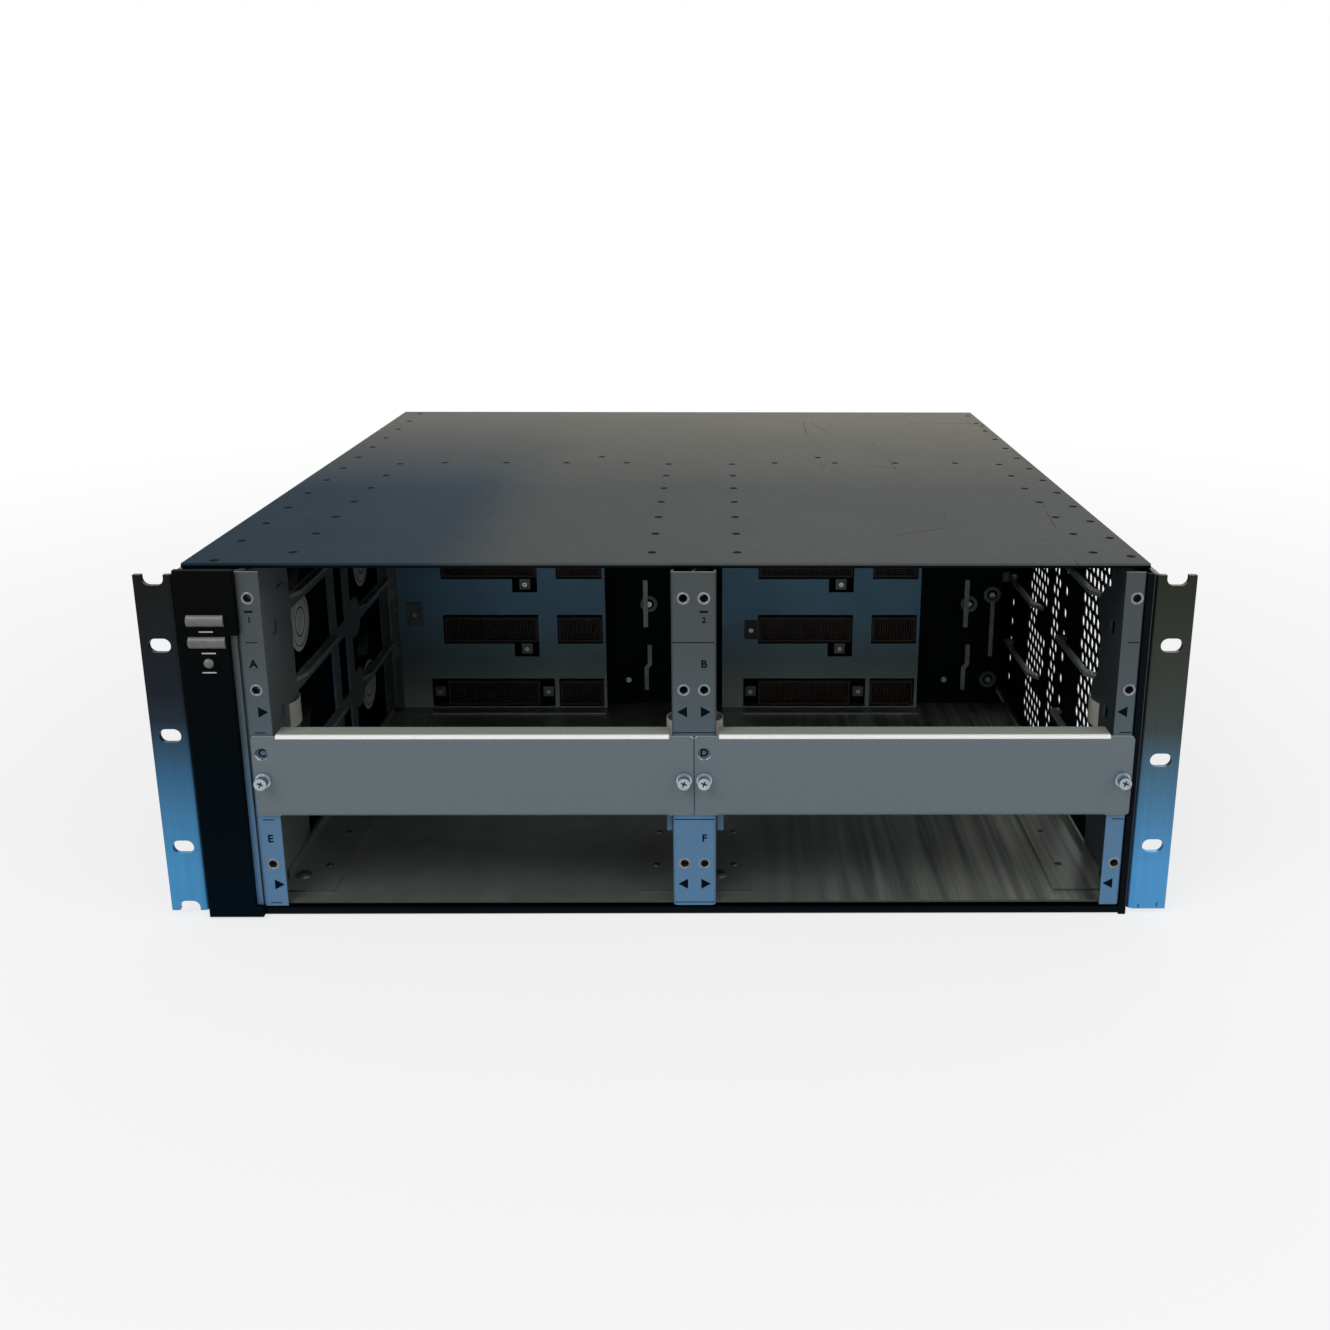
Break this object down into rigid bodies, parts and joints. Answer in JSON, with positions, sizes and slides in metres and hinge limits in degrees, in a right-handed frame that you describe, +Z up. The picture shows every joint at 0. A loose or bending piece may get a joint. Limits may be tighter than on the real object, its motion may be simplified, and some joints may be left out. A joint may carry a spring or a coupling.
{
  "type": "modular rack switch chassis",
  "caption": "Open-front rack chassis with two columns of module slots, a connector backplane, a side fan tray that slides out at the rear, and blanking covers.",
  "frame": {"origin": "middle of the overall bounding box, on the underside of the base pan", "axes": "+X to the right seen from the front, +Y to the rear, +Z up"},
  "size_m": [0.4826, 0.4936, 0.1753],
  "materials": {
    "charcoal_paint": "satin powder coat",
    "grey_paint": "satin paint",
    "galvanised": "dull zinc-plated sheet",
    "plated_steel": "bright zinc plate",
    "board": "solder-masked board",
    "connector_plastic": "moulded",
    "black_plastic": "moulded",
    "lens": "translucent"
  },
  "bodies": {
    "chassis": {"backplane_board": "board", "backplane_shield_left": "galvanised", "backplane_shield_right": "galvanised", "base_pan": "galvanised", "bay_wall": "galvanised", "blank_cover_left": "grey_paint", "blank_cover_right": "grey_paint", "board_bars": "galvanised", "board_standoffs": "plated_steel", "centre_divider": "galvanised", "centre_guide_rails": "galvanised", "centre_post": "grey_paint", "connector_clamps": "galvanised", "ear_screws": "plated_steel", "earth_springs": "plated_steel", "fault_lens": "lens", "floor_guides": "galvanised", "floor_sheet": "galvanised", "led_bezel": "black_plastic", "left_guide_rails": "galvanised", "left_post": "grey_paint", "left_side_wall": "charcoal_paint", "locator_lens": "lens", "long_connectors": "connector_plastic", "power_bay_blank_left": "grey_paint", "power_bay_blank_right": "grey_paint", "power_bay_divider": "galvanised", "power_bay_shelf": "galvanised", "power_blank_screws": "plated_steel", "power_lens": "lens", "rack_ear_left": "plated_steel", "rack_ear_right": "plated_steel", "rear_panel": "charcoal_paint", "right_guide_rails": "galvanised", "right_post": "grey_paint", "right_side_wall": "charcoal_paint", "shield_bracket": "galvanised", "short_connectors": "connector_plastic", "top_cover": "charcoal_paint", "top_guides": "galvanised"},
    "cover_screw_1": {"cover_screw_1": "plated_steel"},
    "fan_rotor_1": {"fan_rotor_1": "black_plastic"},
    "cover_screw_2": {"cover_screw_2": "plated_steel"},
    "fan_rotor_2": {"fan_rotor_2": "black_plastic"},
    "cover_screw_3": {"cover_screw_3": "plated_steel"},
    "fan_rotor_3": {"fan_rotor_3": "black_plastic"},
    "cover_screw_4": {"cover_screw_4": "plated_steel"},
    "fan_rotor_4": {"fan_rotor_4": "black_plastic"},
    "tray_screw_lower": {"tray_screw_lower": "plated_steel"},
    "tray_screw_upper": {"tray_screw_upper": "plated_steel"},
    "fan_tray": {"fan_tray_frame": "galvanised", "tray_end_plate": "charcoal_paint", "tray_handle": "plated_steel", "fan_frame_1": "black_plastic", "fan_frame_2": "black_plastic", "fan_frame_3": "black_plastic", "fan_frame_4": "black_plastic"}
  },
  "joints": [
    {"name": "fan_tray_slide", "type": "slide", "parent": "chassis", "child": "fan_tray", "axis": [0, 1, 0], "range_m": [0, 0.4]},
    {"name": "fan_spin_1", "type": "hinge", "parent": "fan_tray", "child": "fan_rotor_1", "pos_m": [-0.2052, -0.15525, 0.0424], "axis": [1, 0, 0], "continuous": true},
    {"name": "fan_spin_2", "type": "hinge", "parent": "fan_tray", "child": "fan_rotor_2", "pos_m": [-0.2052, -0.15525, 0.1226], "axis": [1, 0, 0], "continuous": true},
    {"name": "fan_spin_3", "type": "hinge", "parent": "fan_tray", "child": "fan_rotor_3", "pos_m": [-0.2052, -0.03405, 0.0424], "axis": [1, 0, 0], "continuous": true},
    {"name": "fan_spin_4", "type": "hinge", "parent": "fan_tray", "child": "fan_rotor_4", "pos_m": [-0.2052, -0.03405, 0.1226], "axis": [1, 0, 0], "continuous": true},
    {"name": "cover_screw_1_draw", "type": "slide", "parent": "chassis", "child": "cover_screw_1", "axis": [0, -1, 0], "range_m": [0, 0.0045]},
    {"name": "cover_screw_2_draw", "type": "slide", "parent": "chassis", "child": "cover_screw_2", "axis": [0, -1, 0], "range_m": [0, 0.0045]},
    {"name": "cover_screw_3_draw", "type": "slide", "parent": "chassis", "child": "cover_screw_3", "axis": [0, -1, 0], "range_m": [0, 0.0045]},
    {"name": "cover_screw_4_draw", "type": "slide", "parent": "chassis", "child": "cover_screw_4", "axis": [0, -1, 0], "range_m": [0, 0.0045]},
    {"name": "tray_screw_lower_draw", "type": "slide", "parent": "fan_tray", "child": "tray_screw_lower", "axis": [0, 1, 0], "range_m": [0, 0.005]},
    {"name": "tray_screw_upper_draw", "type": "slide", "parent": "fan_tray", "child": "tray_screw_upper", "axis": [0, 1, 0], "range_m": [0, 0.005]}
  ]
}
